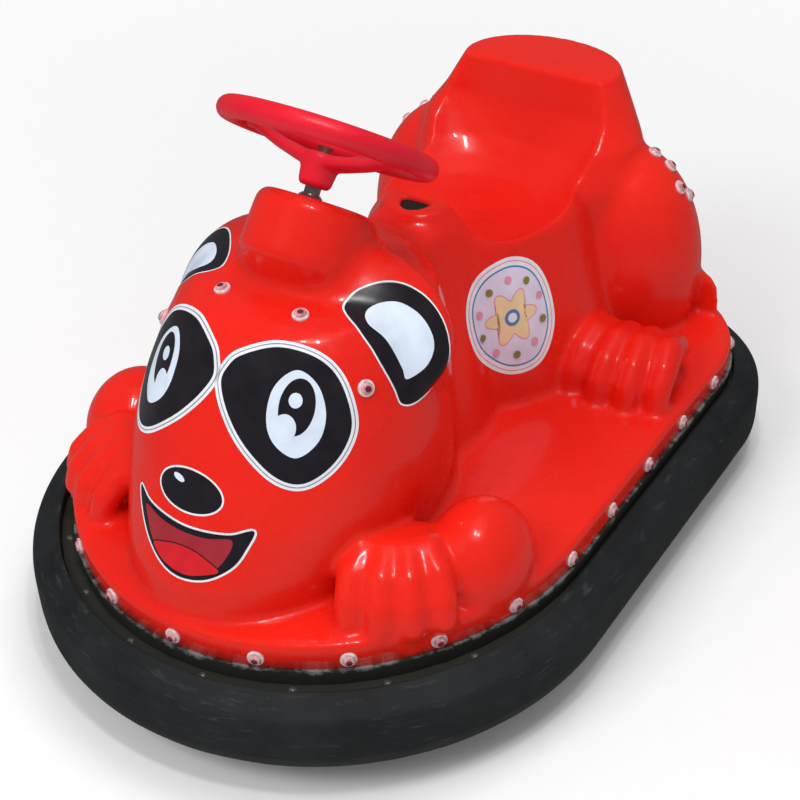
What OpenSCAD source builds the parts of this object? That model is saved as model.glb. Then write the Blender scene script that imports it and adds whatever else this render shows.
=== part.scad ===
// Battery bumper car for a child: a fibreglass animal body over a steel frame,
// inside a rubber ring bumper. The nose points to -Y, the driver's left is +X.
// The origin is on the ground under the middle of the bumper. Millimetres.

/* [Plan of the skirt] */
// Half of the width over the fibreglass skirt
skirt_half_w = 359; // [352:1:362]
// Length of the bowed nose of the skirt
nose_len = 387; // [380:1:392]
// Distance from the origin forward to where the nose starts
nose_y = 140; // [132:1:144]
// Distance from the origin back to where the tail corners start
corner_y = 312; // [302:1:316]
// Radius of the two tail corners
corner_r = 168; // [160:1:180]
// Distance from the origin back to the end of the tail
tail_y = 526; // [518:1:532]

/* [Skirt and deck] */
// Height of the lower edge of the skirt
skirt_z = 158; // [150:2:170]
// Height of the deck
deck_z = 194; // [188:2:200]
// Radius where the deck turns into the skirt
deck_edge_r = 16; // [12:1:18]
// Thickness of the fibreglass
shell_t = 6; // [4:0.5:8]
// How far the step round the tail stands in from the skirt
step_in = 18; // [17:1:24]
// Height of the step round the tail above the deck
step_h = 62; // [50:2:70]

/* [Head] */
// Half of the width of the head at its widest
head_a = 199; // [190:1:205]
// Height of the crown of the head
head_top_z = 517; // [508:1:524]
// Distance from the origin forward to the front of the head on the deck
head_front_y = 514; // [506:1:518]
// Half of the length of the foot of the head
head_b = 264; // [256:1:270]

/* [Ears] */
// Half of the width of an ear
ear_a = 148; // [140:1:152]
// Half of the height of an ear
ear_c = 105; // [98:1:110]
// Half of the thickness of an ear
ear_t = 38; // [32:1:44]
// Sideways distance from the middle to the middle of an ear
ear_x = 66; // [60:1:72]
// Distance of the middle of an ear in front of the origin
ear_y = 237; // [230:1:244]
// Height of the middle of an ear
ear_z = 480; // [474:1:486]
// How far the ears lean back, droop and turn
ear_turn = [-42, 15, 20];
// Angle of the straight front edge across the ear
ear_cut = 39; // [34:1:44]
// Distance of that edge from the middle of the ear
ear_front = 8; // [4:1:14]

/* [Steering pillar] */
// Radius of the top of the pillar
pillar_top_r = 74; // [66:1:80]
// Radius of the rounding round the top
pillar_edge_r = 17; // [12:1:24]
// Radius of the foot of the pillar
pillar_foot_r = 84; // [76:1:92]
// Distance of the foot of the pillar in front of the origin
pillar_foot_y = 160; // [150:2:172]
// Distance from the steering wheel's middle down the column to the pillar's top
pillar_drop = 74; // [66:2:84]

/* [Seat] */
// Height of the rim beside the seat
rim_z = 446; // [436:1:456]
// Half of the width over the rim
rim_a = 160; // [150:1:168]
// Distance of the middle of the rim behind the origin
rim_y = 196; // [188:1:204]
// Height of the pommel in front of the seat
pommel_z = 488; // [478:1:494]
// Distance of the pommel behind the origin
pommel_y = 60; // [54:1:66]
// Half of the width of the foot of the trunk, on the deck
trunk_a = 212; // [200:1:220]
// Half of the length of the foot of the trunk
trunk_b = 250; // [240:1:260]
// Half of the width of the top of the backrest
back_top_a = 120; // [112:1:128]
// Half of the depth of the top of the backrest
back_top_b = 58; // [50:1:64]
// Height of the top of the backrest
back_top_z = 556; // [548:1:564]
// Distance of the middle of the top of the backrest behind the origin
back_top_y = 408; // [400:1:414]
// Radius of the bowl of the seat
bowl_r = 136; // [128:1:142]
// Depth of the bowl below the rim
bowl_depth = 46; // [38:1:54]

/* [Haunches and paws] */
// Sideways distance from the middle to a haunch
haunch_x = 152; // [140:2:160]
// Distance of a haunch behind the origin
haunch_y = 387; // [380:1:394]
// Half of the width of a haunch
haunch_a = 124; // [110:2:132]
// Half of the length of a haunch
haunch_b = 112; // [104:1:118]
// Height of the middle of a haunch
haunch_z = 270; // [255:5:285]
// Half of the height of a haunch
haunch_c = 190; // [170:5:200]
// Radius of a toe
toe_r = 19; // [16:1:22]
// Height of the knuckles above the deck
paw_h = 74; // [64:2:82]
// Radius of the knee behind a front paw
knee_r = 58; // [52:1:60]
// Distance of the knee in from the side of the skirt
knee_in = 81; // [78:1:88]
// Distance of the knee in front of the origin
knee_y = 248; // [242:1:256]

/* [Bumper] */
// Half of the width over the rubber
bumper_half_w = 410; // [404:1:420]
// Distance from the origin forward to the middle of the round nose of the rubber
bumper_nose_y = 180; // [176:1:184]
// Distance from the origin back to where its tail corners start
bumper_corner_y = 302; // [294:1:304]
// Radius over its tail corners
bumper_corner_r = 230; // [226:1:236]
// Thickness of the rubber
rubber_t = 42; // [38:1:44]
// Clearance of the bumper above the ground
bumper_z = 51; // [45:1:60]
// Height of the rubber's outer face
bumper_face_h = 80; // [70:2:90]
// Thickness of the plate of the steel band behind the rubber
band_t = 4; // [3:0.5:6]

/* [Steering] */
// Outer diameter of the steering wheel
wheel_d = 278; // [250:2:290]
// Thickness of its rim
wheel_tube_d = 29; // [24:1:32]
// Height of the middle of the steering wheel
wheel_z = 661; // [645:1:675]
// Distance of the middle of the steering wheel in front of the origin
wheel_y = 136; // [130:1:142]
// Lean of the steering column from upright
column_tilt = 36.6; // [35:0.1:38]
// Diameter of the steering shaft
shaft_d = 20; // [16:1:24]

/* [Running gear] */
// Diameter of the front drive wheel and of the rear wheels
tyre_d = 150; // [130:2:154]
// Width of a tyre
tyre_w = 38; // [32:1:42]
// Diameter of an axle
axle_d = 16; // [12:1:20]
// Distance of the front wheel in front of the origin
front_axle_y = 210; // [204:1:214]
// Distance of the rear axle behind the origin
rear_axle_y = 300; // [280:5:320]
// Sideways distance from the middle to a rear wheel
rear_track_x = 235; // [220:5:245]
// Diameter of the stem of the front fork
stem_d = 25; // [20:1:28]
// Side of the square tube of the frame
tube_s = 25; // [20:1:30]

/* [Lamps] */
// Diameter of a lamp's lens
lamp_d = 21; // [16:1:24]
// How far a lamp stands out
lamp_h = 7; // [4:0.5:9]
// Number of lamps along the skirt
lamp_n = 27; // [21:2:31]

/* [Hidden] */

RED = [0.91, 0.16, 0.11];
BLACK_RUBBER = [0.13, 0.14, 0.14];
STEEL = [0.45, 0.46, 0.47];
DARK_PAINT = [0.16, 0.17, 0.18];
CRIMSON = [0.86, 0.10, 0.22];
LENS = [0.93, 0.86, 0.88];
NYLON = [0.80, 0.80, 0.78];

EPS = 0.01;
// Running clearance on the radius of a shaft in its bearing
run_c = 0.05;
// Clearance round the cup, round the collar and under a lamp on a flat wall, and under one on a round form
seat_gap = 0.3;
lamp_seat = 0.5;
bumper_tail_y = bumper_half_w + bumper_nose_y;
// Height of the band's lower edge above the rubber's, and depth of the lip that carries the skirt
band_up = 9;
lip_h = 26;
neck_y = 110;
neck_drop = 60;
front_paw_at = [236, -385];
front_paw_turn = 32;
front_toe_pitch = 35;
rear_paw_at = [260, 150];
rear_paw_turn = 5;
rear_toe_pitch = 44;
// Distance of the end of the wheel's boss below the rim's plane
boss_end = 58;
recess_r = 20;
recess_oval = 0.7;
recess_shift = 10;
recess_depth = 24;
column_hole_d = shaft_d + 10;
collar_d = 56;
gearbox_s = 44;
jacket_d = stem_d + 13;
frame_x = 150;
front_cross_y = 320;
mid_cross_y = 95;
rear_cross_y = 215;
frame_z = skirt_z - band_t - tube_s;
tube_gap = 0.5;
tray_t = 4;
tray_hole_x = 120;
tray_hole_y0 = -50;
tray_hole_y1 = 150;
tray_hole_d = 11;
battery = [180, 200, 170];
battery_y = 30;
// Gap over the front tyre, thickness of the fork's crown and arms, and height of the stem's bearing
crown_gap = 12;
plate_t = 8;
arm_t = 6;
bearing_h = 60;
crown_z = tyre_d + crown_gap + plate_t;
bearing_z = crown_z + plate_t;
arm_x = tyre_w / 2 + 10;
fork_d = 60;
bracket_d = 70;
// How far an axle stands out past what it carries, and a hub's lip past its tyre
axle_end = 12;
hub_lip = 4;
// Depth of a tyre from its tread down to its rim
tyre_t = 26;
eye_r = axle_d / 2 + 10;

// ---- outlines seen from above: bowed nose, straight sides, two tail corners, bowed tail ----
// Radius and middle of a tail's bow that leaves its corners smoothly, and the angle where it does.
function bow_r(half_w, cy, cr, end) =
    (pow(half_w - cr, 2) + pow(end - cy, 2) - cr * cr) / (2 * (end - cy - cr));
function bow_y(half_w, cy, cr, end) = end - bow_r(half_w, cy, cr, end);
function bow_a(half_w, cy, cr, end) = atan2(cy - bow_y(half_w, cy, cr, end), half_w - cr);

function arc(cx, cy, rx, ry, a0, a1, n) =
    [for (i = [0:n]) let (a = a0 + (a1 - a0) * i / n) [cx + rx * cos(a), cy + ry * sin(a)]];

// The skirt's outline, drawn at a distance in from it.
function plan(inset) = let (
    cx = skirt_half_w - corner_r,
    cr = corner_r - inset,
    tr = bow_r(skirt_half_w, corner_y, corner_r, tail_y) - inset,
    ty = bow_y(skirt_half_w, corner_y, corner_r, tail_y),
    a = bow_a(skirt_half_w, corner_y, corner_r, tail_y)
) concat(
    arc(0, -nose_y, skirt_half_w - inset, nose_len - inset, 180, 360, 26),
    arc(cx, corner_y, cr, cr, 0, a, 8),
    arc(0, ty, tr, tr, a, 180 - a, 10),
    arc(-cx, corner_y, cr, cr, 180 - a, 180, 8));

// The outline of the rubber's inner face.
function bumper_inside() = let (
    cx = bumper_half_w - bumper_corner_r,
    cr = bumper_corner_r - rubber_t,
    tr = bow_r(bumper_half_w, bumper_corner_y, bumper_corner_r, bumper_tail_y),
    a = bow_a(bumper_half_w, bumper_corner_y, bumper_corner_r, bumper_tail_y),
    r = bumper_half_w - rubber_t
) concat(
    arc(0, -bumper_nose_y, r, r, 180, 360, 28),
    arc(cx, bumper_corner_y, cr, cr, 0, a, 8),
    arc(0, bumper_tail_y - tr, tr - rubber_t, tr - rubber_t, a, 180 - a, 10),
    arc(-cx, bumper_corner_y, cr, cr, 180 - a, 180, 8));

// Sweeps a section round the rubber's outline: its x is the distance in from the outside, its y the height.
module round_the_bumper() {
    tail_r = bow_r(bumper_half_w, bumper_corner_y, bumper_corner_r, bumper_tail_y);
    turn = bow_a(bumper_half_w, bumper_corner_y, bumper_corner_r, bumper_tail_y);
    translate([0, -bumper_nose_y, 0]) rotate([0, 0, 180])
        rotate_extrude(angle = 180, $fn = 96) translate([bumper_half_w, 0]) children();
    translate([0, bumper_tail_y - tail_r, 0]) rotate([0, 0, turn])
        rotate_extrude(angle = 180 - 2 * turn, $fn = 96) translate([tail_r, 0]) children();
    for (side = [0, 1]) mirror([side, 0, 0]) {
        translate([bumper_half_w, bumper_corner_y, 0]) rotate([90, 0, 0])
            linear_extrude(bumper_nose_y + bumper_corner_y) children();
        translate([bumper_half_w - bumper_corner_r, bumper_corner_y, 0])
            rotate_extrude(angle = turn, $fn = 96) translate([bumper_corner_r, 0]) children();
    }
}

module both_sides() {
    children();
    mirror([1, 0, 0]) children();
}

module column_place(drop) {
    translate([0, -wheel_y, wheel_z]) rotate([-column_tilt, 0, 0]) translate([0, 0, -drop]) children();
}

// ---- fibreglass body: every form is drawn at an inset, once for the skin, once for the hollow ----
module egg(at, size, inset, turn = [0, 0, 0], fn = 28) {
    translate(at) rotate(turn)
        scale([size.x - inset, size.y - inset, size.z - inset])
            sphere(1, $fn = inset > 0 ? fn / 2 - 1 : fn);
}

module slab(points, z, h) {
    translate([0, 0, z]) linear_extrude(h) polygon(points);
}

module oval_slab(a, b, y, z, h, fn = 32) {
    translate([0, y, z]) scale([a, b, 1]) cylinder(r = 1, h = h, $fn = fn);
}

module skirt_form(inset) {
    r = deck_edge_r - inset;
    foot = inset > 0 ? 1 : 0;
    hull() {
        slab(plan(inset), skirt_z - foot, deck_z - deck_edge_r - skirt_z + foot);
        for (a = inset > 0 ? [90] : [30, 60, 90])
            slab(plan(inset + r * (1 - cos(a))), deck_z - deck_edge_r + r * sin(a) - EPS, EPS);
    }
}

// Sections of the head from the deck up. Columns: share of its height, share of its half width,
// how far its front stands back from the foot's, and how much shorter it is than the foot by half.
head_sections = [[-0.05, 0.89, 0, 0], [0.13, 0.94, 8, 12], [0.2, 0.97, 22, 24], [0.33, 1, 41, 40],
    [0.48, 0.995, 66, 56], [0.64, 0.945, 95, 70], [0.79, 0.88, 124, 83], [0.9, 0.8, 148, 96],
    [0.96, 0.68, 166, 118], [0.99, 0.5, 189, 146], [1, 0.3, 219, 184]];

module head_form(inset) {
    hull() for (row = head_sections)
        let (b = head_b - row[3])
        oval_slab(head_a * row[1] - inset, b - inset, b + row[2] - head_front_y,
            deck_z + row[0] * (head_top_z - deck_z) - max(row[0], 0) * inset, EPS, 32);
}

// An ear is the outer part of a flat egg: its front edge is straight where it rises from the crown.
module ear_form(inset) {
    both_sides() translate([ear_x, -ear_y, ear_z]) rotate(ear_turn) intersection() {
        egg([0, 0, 0], [ear_a, ear_t, ear_c], inset, [0, 0, 0], 26);
        rotate([0, ear_cut, 0]) translate([-ear_a, -ear_t, ear_front + inset])
            cube([2 * ear_a, 2 * ear_t, ear_a]);
    }
}

module pillar_form(inset) {
    hull() {
        for (a = [0, 45, 90])
            column_place(pillar_drop + pillar_edge_r * (1 - sin(a)) + inset) rotate([180, 0, 0])
                cylinder(r = pillar_top_r - pillar_edge_r * (1 - cos(a)) - inset, h = EPS, $fn = 32);
        translate([0, -pillar_foot_y, head_top_z - 60]) cylinder(r = pillar_foot_r - inset, h = EPS, $fn = 32);
    }
}

// The trunk under the rider, from the deck up to the rim of the seat and the pommel before it.
module trunk_form(inset) {
    hull() {
        oval_slab(trunk_a - inset, trunk_b - inset, rim_y + 34, deck_z - deck_edge_r, EPS);
        oval_slab(rim_a + 12 - inset, rim_a + 8 - inset, rim_y, rim_z - 30 - inset, EPS);
        oval_slab(rim_a - inset, rim_a - 4 - inset, rim_y, rim_z - inset, EPS);
        oval_slab(62 - inset, 70 - inset, pommel_y, pommel_z - 18 - inset, EPS);
        oval_slab(48 - inset, 56 - inset, pommel_y, pommel_z - inset, EPS);
    }
    hull() {
        oval_slab(150 - inset, 150 - inset, -30, deck_z - deck_edge_r, EPS);
        oval_slab(60 - inset, 66 - inset, pommel_y, pommel_z - 22 - inset, EPS);
        translate([0, -neck_y, pommel_z - neck_drop]) sphere(50 - inset, $fn = 24);
    }
}

// Sections of the backrest from the top down: drop, gain in half width, gain in half depth, step forward.
back_sections = [[0, 0, 0, 0], [12, 10, 8, 2], [54, 32, 22, 16], [86, 54, 44, 38], [140, 64, 60, 60],
    [back_top_z - deck_z + deck_edge_r, 66, 62, 62]];

module backrest_form(inset) {
    hull() for (row = back_sections)
        oval_slab(back_top_a + row[1] - inset, back_top_b + row[2] - inset,
            back_top_y - row[3], back_top_z - row[0] - inset, EPS);
}

module haunch_form(inset) {
    both_sides()
        egg([haunch_x, haunch_y, haunch_z], [haunch_a, haunch_b, haunch_c], inset, [0, 0, 0], 24);
}

// The step round the tail, behind the haunches.
module tail_step_form(inset) {
    hull() intersection() {
        for (row = [[0, -deck_edge_r], [3, step_h - 26], [10, step_h - 10], [34, step_h - inset]])
            slab(plan(step_in + inset + row[0]), deck_z + row[1], EPS);
        translate([-skirt_half_w, haunch_y - 10 + inset, 0]) cube([2 * skirt_half_w, tail_y, 2 * deck_z]);
    }
}

// A paw: four toes side by side, each from its knuckle down to the deck, all running back to a wrist.
// Column 1 is a toe's place across the paw in pitches, column 2 how far it reaches forward.
toes = [[-1.5, -12], [-0.5, 0], [0.5, 0], [1.5, -12]];

module paw_form(inset, at, turn, pitch) {
    translate([at.x, at.y, deck_z]) rotate([0, 0, turn])
        if (inset == 0) {
            for (toe = toes) hull() {
                translate([toe[0] * pitch, -toe[1] - toe_r, toe_r / 3]) sphere(toe_r, $fn = 8);
                translate([toe[0] * pitch * 0.95, 34 - toe[1], paw_h - toe_r]) sphere(toe_r, $fn = 8);
                translate([toe[0] * pitch * 0.8, 92, paw_h - toe_r - 10]) sphere(toe_r, $fn = 8);
            }
        } else {
            translate([-1.5 * pitch, 10, -deck_edge_r]) cube([3 * pitch, 70, deck_edge_r + paw_h / 2]);
        }
}

module paws_form(inset) {
    both_sides() {
        paw_form(inset, front_paw_at, front_paw_turn, front_toe_pitch);
        paw_form(inset, rear_paw_at, rear_paw_turn, rear_toe_pitch);
        egg([skirt_half_w - knee_in, -knee_y, deck_z + 8], [knee_r, knee_r + 12, knee_r + 12], inset);
    }
}

module body_forms(inset) {
    skirt_form(inset);
    head_form(inset);
    ear_form(inset);
    pillar_form(inset);
    trunk_form(inset);
    backrest_form(inset);
    haunch_form(inset);
    tail_step_form(inset);
    paws_form(inset);
}

// What the rider sits in: the round bowl, and the dished front of the backrest above it.
module bowl(grow) {
    top = bowl_depth + 34;
    egg([0, rim_y - 8, rim_z + 34], [bowl_r + grow, bowl_r + grow, top + grow], 0, [0, 0, 0], 30);
    egg([0, rim_y + 62, rim_z + 46], [bowl_r - 2 + grow, bowl_r + grow, 62 + grow], 0, [0, 0, 0], 30);
}

module body_moulding() {
    color(RED) difference() {
        union() {
            body_forms(0);
        }
        difference() {
            body_forms(shell_t);
            bowl(shell_t);
        }
        bowl(0);
        translate([-skirt_half_w, -tail_y - EPS, -1]) cube([2 * skirt_half_w, 2 * tail_y + 1, skirt_z + 1]);
        column_place(pillar_drop + 40) cylinder(d = column_hole_d, h = 60, $fn = 24);
        recess(0, 2 * recess_depth);
    }
}

// The oval hole in the top of the pommel, and the rubber cup that plugs it.
module recess(clear, h) {
    translate([0, pommel_y - recess_shift, pommel_z - recess_depth]) scale([1, recess_oval, 1])
        cylinder(r = recess_r - clear, h = h, $fn = 32);
}

module seat_recess_cup() {
    color(BLACK_RUBBER) recess(seat_gap, recess_depth / 3);
}

// ---- rubber bumper and its steel band ----
module bumper_tyre() {
    top = bumper_z + bumper_face_h;
    color(BLACK_RUBBER) round_the_bumper() polygon([
        [-rubber_t, bumper_z + 6],
        [-14, bumper_z],
        [-4, bumper_z + 4],
        [0, bumper_z + 14],
        [0, top - 10],
        [-4, top],
        [-rubber_t + 4, top + 18],
        [-rubber_t, top + 14],
    ]);
}

// The steel band fills the space between the skirt's outline and the rubber.
module bumper_band() {
    color(STEEL) difference() {
        union() {
            slab(bumper_inside(), bumper_z + band_up, bumper_face_h - band_up / 2);
            slab(plan(-band_t), skirt_z - lip_h, lip_h);
        }
        slab(plan(0), 0, skirt_z - band_t);
        slab(plan(shell_t), 0, skirt_z + 1);
    }
}

// ---- lamps ----
// The skirt's outline walked from point to point, so that lamps come at even steps along it.
skirt_line = concat(plan(0), [plan(0)[0]]);
function walked(i) = i == 0 ? 0 : walked(i - 1) + norm(skirt_line[i] - skirt_line[i - 1]);
skirt_length = walked(len(skirt_line) - 1);
nose_point = 13;

module lamp() {
    translate([0, 0, seat_gap]) rotate_extrude($fn = 24)
        polygon([[0, 0], [lamp_d / 2, 0], [lamp_d / 2, 2], [lamp_d / 3, lamp_h], [0, lamp_h]]);
}

// Puts its child square on the skirt at every step, the first at the tip of the nose.
module along_the_skirt() {
    for (i = [0:lamp_n - 1])
        let (
            s = (walked(nose_point) + i * skirt_length / lamp_n) % skirt_length,
            k = max([for (j = [0:len(skirt_line) - 2]) if (walked(j) <= s) j]),
            from = skirt_line[k],
            run = skirt_line[k + 1] - from,
            at = from + run * (s - walked(k)) / norm(run)
        )
        translate([at.x, at.y, skirt_z + 14]) rotate([0, 90, atan2(-run.x, run.y)]) children();
}

// Two pairs of lamps on the head. Columns: x, y, z, lean of the lamp from upright, turn of that lean from +X.
head_lamps_at = [[58, -290, 515, 11, -48], [152, -298, 449, 62, -28]];

module on_the_head() {
    both_sides() for (row = head_lamps_at)
        translate([row[0], row[1], row[2]]) rotate([0, row[3], row[4]]) translate([0, 0, lamp_seat])
            children();
}

// Four lamps on the back of each haunch: degrees round it from the side to the back, and up from its middle.
rump_lamps_at = [[32, 70], [24, 58], [7, 47], [19, 39]];

module on_the_rump() {
    both_sides() for (row = rump_lamps_at)
        let (out = [cos(row[0]) * cos(row[1]), sin(row[0]) * cos(row[1]), sin(row[1])],
            square = [out.x / haunch_a, out.y / haunch_b, out.z / haunch_c])
        translate([haunch_x + haunch_a * out.x, haunch_y + haunch_b * out.y, haunch_z + haunch_c * out.z])
            rotate([0, atan2(norm([square.x, square.y]), square.z), atan2(square.y, square.x)])
                translate([0, 0, lamp_seat]) children();
}

module skirt_lamps() {
    color(LENS) along_the_skirt() lamp();
}

module head_lamps() {
    color(LENS) on_the_head() lamp();
}

module rump_lamps() {
    color(LENS) on_the_rump() lamp();
}

// ---- steering ----
// Side view of a spoke, from the boss up to the rim: distance from the middle, height over the rim's plane.
spoke_side = [[12, -32], [12, -18], [58, -10], [112, 5], [112, -7], [64, -22]];
spoke_w = 32;

// A round rim, and three spokes that drop to the boss on the shaft.
module steering_wheel() {
    ring_r = (wheel_d - wheel_tube_d) / 2;
    color(CRIMSON) column_place(0) {
        rotate_extrude($fn = 72) translate([ring_r, 0]) circle(d = wheel_tube_d, $fn = 24);
        difference() {
            union() {
                translate([0, 0, -boss_end]) cylinder(d1 = shaft_d + 14, d2 = shaft_d + 24, h = 28, $fn = 40);
                translate([0, 0, 28 - boss_end]) cylinder(d = shaft_d + 40, h = 14, $fn = 48);
                for (a = [0, 90, 180]) rotate([90, 0, a]) translate([0, 0, -spoke_w / 2])
                    linear_extrude(spoke_w)
                        polygon([for (p = spoke_side) [min(p.x, ring_r - 2), p.y]]);
            }
            translate([0, 0, -boss_end - 1]) cylinder(d = shaft_d, h = boss_end - 9, $fn = 32);
        }
    }
}

column_run = (front_axle_y - wheel_y) / sin(column_tilt);
gearbox_z = wheel_z - column_run * cos(column_tilt);
shaft_end = column_run - 12;
stem_top = gearbox_z - 8;

module steering_shaft() {
    color(STEEL) column_place(shaft_end) cylinder(d = shaft_d, h = shaft_end - 10, $fn = 32);
}

module pillar_collar() {
    color(STEEL) column_place(pillar_drop) difference() {
        union() {
            cylinder(d = collar_d, h = 5, $fn = 40);
            cylinder(d = shaft_d + 14, h = 12, $fn = 40);
            translate([0, 0, -16]) cylinder(d = column_hole_d - 2 * seat_gap, h = 16, $fn = 32);
        }
        translate([0, 0, -17]) cylinder(r = shaft_d / 2 + run_c, h = 60, $fn = 32);
    }
}

module steering_gearbox() {
    color(DARK_PAINT) difference() {
        translate([-gearbox_s / 2, -front_axle_y - gearbox_s / 2, gearbox_z - gearbox_s / 2])
            cube(gearbox_s);
        column_place(shaft_end + 1) cylinder(r = shaft_d / 2 + run_c, h = gearbox_s * 2, $fn = 32);
        translate([0, -front_axle_y, gearbox_z - gearbox_s])
            cylinder(r = stem_d / 2 + run_c, h = gearbox_s - (gearbox_z - stem_top) + 1, $fn = 32);
    }
}

// Fixed tube round the stem, from the bearing on the frame up to the gearbox.
module column_jacket() {
    z0 = bearing_z + bearing_h;
    color(DARK_PAINT) difference() {
        translate([0, -front_axle_y, z0])
            cylinder(d = jacket_d, h = gearbox_z - gearbox_s / 2 - z0, $fn = 40);
        translate([0, -front_axle_y, z0 - 1])
            cylinder(d = stem_d + 5, h = gearbox_z, $fn = 32);
    }
}

// ---- steel frame under the body ----
module tube_x(y, x0, x1) {
    translate([x0, y - tube_s / 2, frame_z]) cube([x1 - x0, tube_s, tube_s]);
}

module tube_y(x, y0, y1) {
    translate([x - tube_s / 2, y0, frame_z]) cube([tube_s, y1 - y0, tube_s]);
}

module frame_tubes() {
    reach_x = skirt_half_w - tube_gap;
    outer_x = frame_x + tube_s / 2;
    tail_r = bow_r(skirt_half_w, corner_y, corner_r, tail_y);
    nose_end = -nose_y - nose_len * sqrt(1 - pow(outer_x / skirt_half_w, 2)) + 2 * tube_gap;
    tail_end = tail_y - tail_r + sqrt(pow(tail_r, 2) - pow(outer_x, 2)) - tube_gap;
    color(DARK_PAINT) union() {
        both_sides() tube_y(frame_x, nose_end, tail_end);
        tube_x(-front_cross_y, -frame_x, frame_x);
        tube_x(-mid_cross_y, -reach_x, reach_x);
        tube_x(rear_cross_y, -reach_x, reach_x);
    }
}

module floor_tray() {
    y0 = -mid_cross_y - tube_s / 2;
    color(DARK_PAINT) difference() {
        translate([-frame_x - tube_s / 2, y0, frame_z - tray_t])
            cube([2 * frame_x + tube_s, rear_cross_y + tube_s / 2 - y0, tray_t]);
        for (x = [-tray_hole_x, tray_hole_x], y = [tray_hole_y0, tray_hole_y1])
            translate([x, y, frame_z - tray_t - 1]) cylinder(d = tray_hole_d, h = tray_t + 2, $fn = 32);
    }
}

// The battery stands on the tray under the rider.
module battery_block() {
    color(BLACK_RUBBER) translate([-battery.x / 2, battery_y - battery.y / 2, frame_z]) cube(battery);
}

// ---- front drive wheel on its fork ----
module fork_bearing() {
    plate_x = frame_x + tube_s / 2;
    color(DARK_PAINT) difference() {
        union() {
            translate([0, -front_axle_y, bearing_z]) cylinder(d = stem_d + 22, h = bearing_h, $fn = 40);
            translate([-plate_x, -front_axle_y - fork_d / 2, bearing_z]) cube([2 * plate_x, fork_d, arm_t]);
            both_sides() translate([frame_x - tube_s / 2, -front_axle_y - fork_d / 2, frame_z + tube_s])
                cube([tube_s, fork_d, bearing_z - frame_z - tube_s]);
        }
        translate([0, -front_axle_y, bearing_z - 1])
            cylinder(r = stem_d / 2 + run_c, h = bearing_h + 2, $fn = 32);
    }
}

module fork_stem() {
    color(STEEL) translate([0, -front_axle_y, crown_z])
        cylinder(d = stem_d, h = stem_top - crown_z, $fn = 32);
}

module fork_yoke() {
    color(STEEL) difference() {
        union() {
            translate([-arm_x - arm_t, -front_axle_y - fork_d / 2, crown_z - plate_t])
                cube([2 * (arm_x + arm_t), fork_d, plate_t]);
            both_sides() hull() {
                translate([arm_x, -front_axle_y - fork_d / 2, crown_z - plate_t])
                    cube([arm_t, fork_d, plate_t]);
                translate([arm_x, -front_axle_y, tyre_d / 2]) rotate([0, 90, 0])
                    cylinder(r = eye_r, h = arm_t, $fn = 32);
            }
        }
        axle_rod(-front_axle_y, arm_x + arm_t + 1);
    }
}

// A round bar across the car at the height of the wheels' middles.
module axle_rod(y, reach) {
    translate([-reach, y, tyre_d / 2]) rotate([0, 90, 0]) cylinder(d = axle_d, h = 2 * reach, $fn = 32);
}

module front_axle() {
    color(STEEL) axle_rod(-front_axle_y, arm_x + arm_t + axle_end);
}

module tyre(y, x) {
    r = tyre_d / 2;
    w = tyre_w / 2;
    color(BLACK_RUBBER) translate([x, y, r]) rotate([0, 90, 0]) rotate_extrude($fn = 48)
        polygon([
            [r - tyre_t, 3 - w],
            [r - 6, -w],
            [r, 7 - w],
            [r, w - 7],
            [r - 6, w],
            [r - tyre_t, w - 3],
        ]);
}

module hub(y, x) {
    bore = axle_d / 2 + run_c;
    rim = tyre_d / 2 - tyre_t;
    w = tyre_w / 2;
    color(NYLON) translate([x, y, tyre_d / 2]) rotate([0, 90, 0]) rotate_extrude($fn = 48)
        polygon([
            [bore, -w - hub_lip],
            [bore + 8, -w - hub_lip],
            [bore + 12, 5 - w],
            [rim, 3 - w],
            [rim, w - 3],
            [bore + 12, w - 5],
            [bore + 8, w + hub_lip],
            [bore, w + hub_lip],
        ]);
}

module rear_axle() {
    color(STEEL) axle_rod(rear_axle_y, rear_track_x + tyre_w / 2 + hub_lip + axle_end);
}

module rear_axle_brackets() {
    color(DARK_PAINT) difference() {
        both_sides() hull() {
            translate([frame_x - plate_t / 2, rear_axle_y - bracket_d / 2, frame_z - 1])
                cube([plate_t, bracket_d, 1]);
            translate([frame_x - plate_t / 2, rear_axle_y, tyre_d / 2]) rotate([0, 90, 0])
                cylinder(r = eye_r, h = plate_t, $fn = 32);
        }
        axle_rod(rear_axle_y, frame_x + plate_t);
    }
}

module front_tyre() { tyre(-front_axle_y, 0); }
module front_hub_motor() { hub(-front_axle_y, 0); }
module rear_tyre_left() { tyre(rear_axle_y, rear_track_x); }
module rear_hub_left() { hub(rear_axle_y, rear_track_x); }
module rear_tyre_right() { tyre(rear_axle_y, -rear_track_x); }
module rear_hub_right() { hub(rear_axle_y, -rear_track_x); }

body_moulding();
seat_recess_cup();
bumper_tyre();
bumper_band();
skirt_lamps();
head_lamps();
rump_lamps();
steering_wheel();
steering_shaft();
pillar_collar();
steering_gearbox();
column_jacket();
frame_tubes();
floor_tray();
battery_block();
fork_bearing();
fork_stem();
fork_yoke();
front_axle();
front_hub_motor();
front_tyre();
rear_axle();
rear_axle_brackets();
rear_hub_left();
rear_tyre_left();
rear_hub_right();
rear_tyre_right();
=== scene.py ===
import math

import bmesh
import bpy
from mathutils import Matrix, Vector, noise
from mathutils.bvhtree import BVHTree


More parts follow.
